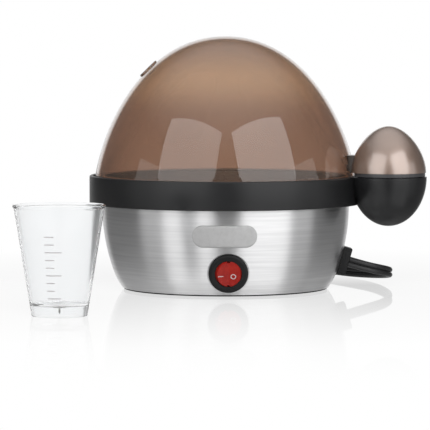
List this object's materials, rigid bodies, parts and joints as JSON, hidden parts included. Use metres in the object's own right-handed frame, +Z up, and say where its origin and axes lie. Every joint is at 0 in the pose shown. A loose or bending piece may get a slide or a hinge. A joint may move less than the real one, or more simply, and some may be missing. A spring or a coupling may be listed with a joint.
{
  "type": "egg boiler",
  "caption": "Countertop egg boiler: steel bowl with a black band, smoky dome lid, egg-shaped side handle, red rocker switch, mains lead and a measuring cup.",
  "frame": {"origin": "the bowl's axis on the table that the boiler stands on", "axes": "+Z up along the bowl's axis, +X towards the egg-shaped handle, -Y towards the switch"},
  "size_m": [0.2382, 0.3649, 0.1513],
  "materials": {
    "brushed_steel": "horizontally brushed stainless steel, satin",
    "pan_steel": "fine brushed stainless steel",
    "black_band": "satin black moulded plastic",
    "black_housing": "fine matt black moulded plastic",
    "foot_rubber": "matt black rubber",
    "smoke_lid": "smoky brown see-through plastic, high gloss",
    "bronze_paint": "satin pearl bronze lacquer",
    "collar_grey": "satin dark grey plastic",
    "red_rocker": "translucent red, stippled",
    "tray_plastic": "natural translucent plastic, satin",
    "cup_plastic": "frosted clear plastic",
    "heater_aluminium": "cast and turned aluminium",
    "element_steel": "heat-tinted steel tube",
    "ceramic": "unglazed ceramic",
    "thermostat_black": "moulded phenolic with metal cap",
    "spring_steel": "bright spring steel",
    "screw_steel": "zinc-plated steel",
    "brass": "tinned brass",
    "fuse_sleeve": "woven glass sleeve",
    "wire_insulation": "silicone insulation",
    "cord_black": "satin black flexible PVC",
    "plug_black": "satin black moulded plug",
    "plug_nickel": "nickel-plated brass",
    "needle_steel": "polished steel"
  },
  "bodies": {
    "base": {"outer_bowl": "brushed_steel", "ring_band": "black_band", "heating_pan": "pan_steel", "heater_plate": "heater_aluminium", "heating_element": "element_steel", "heater_terminals": "ceramic", "thermostat": "thermostat_black", "thermostat_clip": "spring_steel", "thermostat_screws": "screw_steel", "thermal_fuse": "fuse_sleeve", "fuse_clip": "spring_steel", "pan_studs": "screw_steel", "stud_nuts": "screw_steel", "base_cover": "black_housing", "foot_ring": "foot_rubber", "switch_bezel": "black_housing", "switch_terminals": "brass", "inner_wires": "wire_insulation", "strain_relief": "black_housing", "inner_cord": "cord_black", "cord_clamp": "black_housing", "clamp_screws": "screw_steel", "base_handle": "black_band", "base_handle_plate": "collar_grey", "handle_screws": "screw_steel", "plug_body": "plug_black", "plug_pins": "plug_nickel", "power_cord": "cord_black", "cord_coil": "cord_black", "cord_tail": "cord_black"},
    "lid": {"lid_dome": "smoke_lid", "lid_handle": "bronze_paint", "lid_handle_plate": "collar_grey", "lid_handle_screws": "screw_steel"},
    "tray": {"egg_tray": "tray_plastic"},
    "rocker": {"switch_rocker": "red_rocker"},
    "cup": {"measuring_cup": "cup_plastic", "piercing_pin": "needle_steel"}
  },
  "joints": [
    {"name": "lid_lift", "type": "slide", "parent": "base", "child": "lid", "axis": [0, 0, 1], "range_m": [0, 0.16]},
    {"name": "tray_lift", "type": "slide", "parent": "base", "child": "tray", "axis": [0, 0, 1], "range_m": [0, 0.08]},
    {"name": "rocker_tilt", "type": "hinge", "parent": "base", "child": "rocker", "pos_m": [0, -0.06552, 0.01486], "axis": [0, 0.2079, -0.9781], "range_deg": [0, 16]},
    {"name": "cup_lift", "type": "slide", "parent": "base", "child": "cup", "axis": [0, 0, 1], "range_m": [0, 0.12]}
  ],
  "couplings": [
    {"joint": "tray_lift", "follows": "lid_lift", "ratio": 0.5}
  ]
}
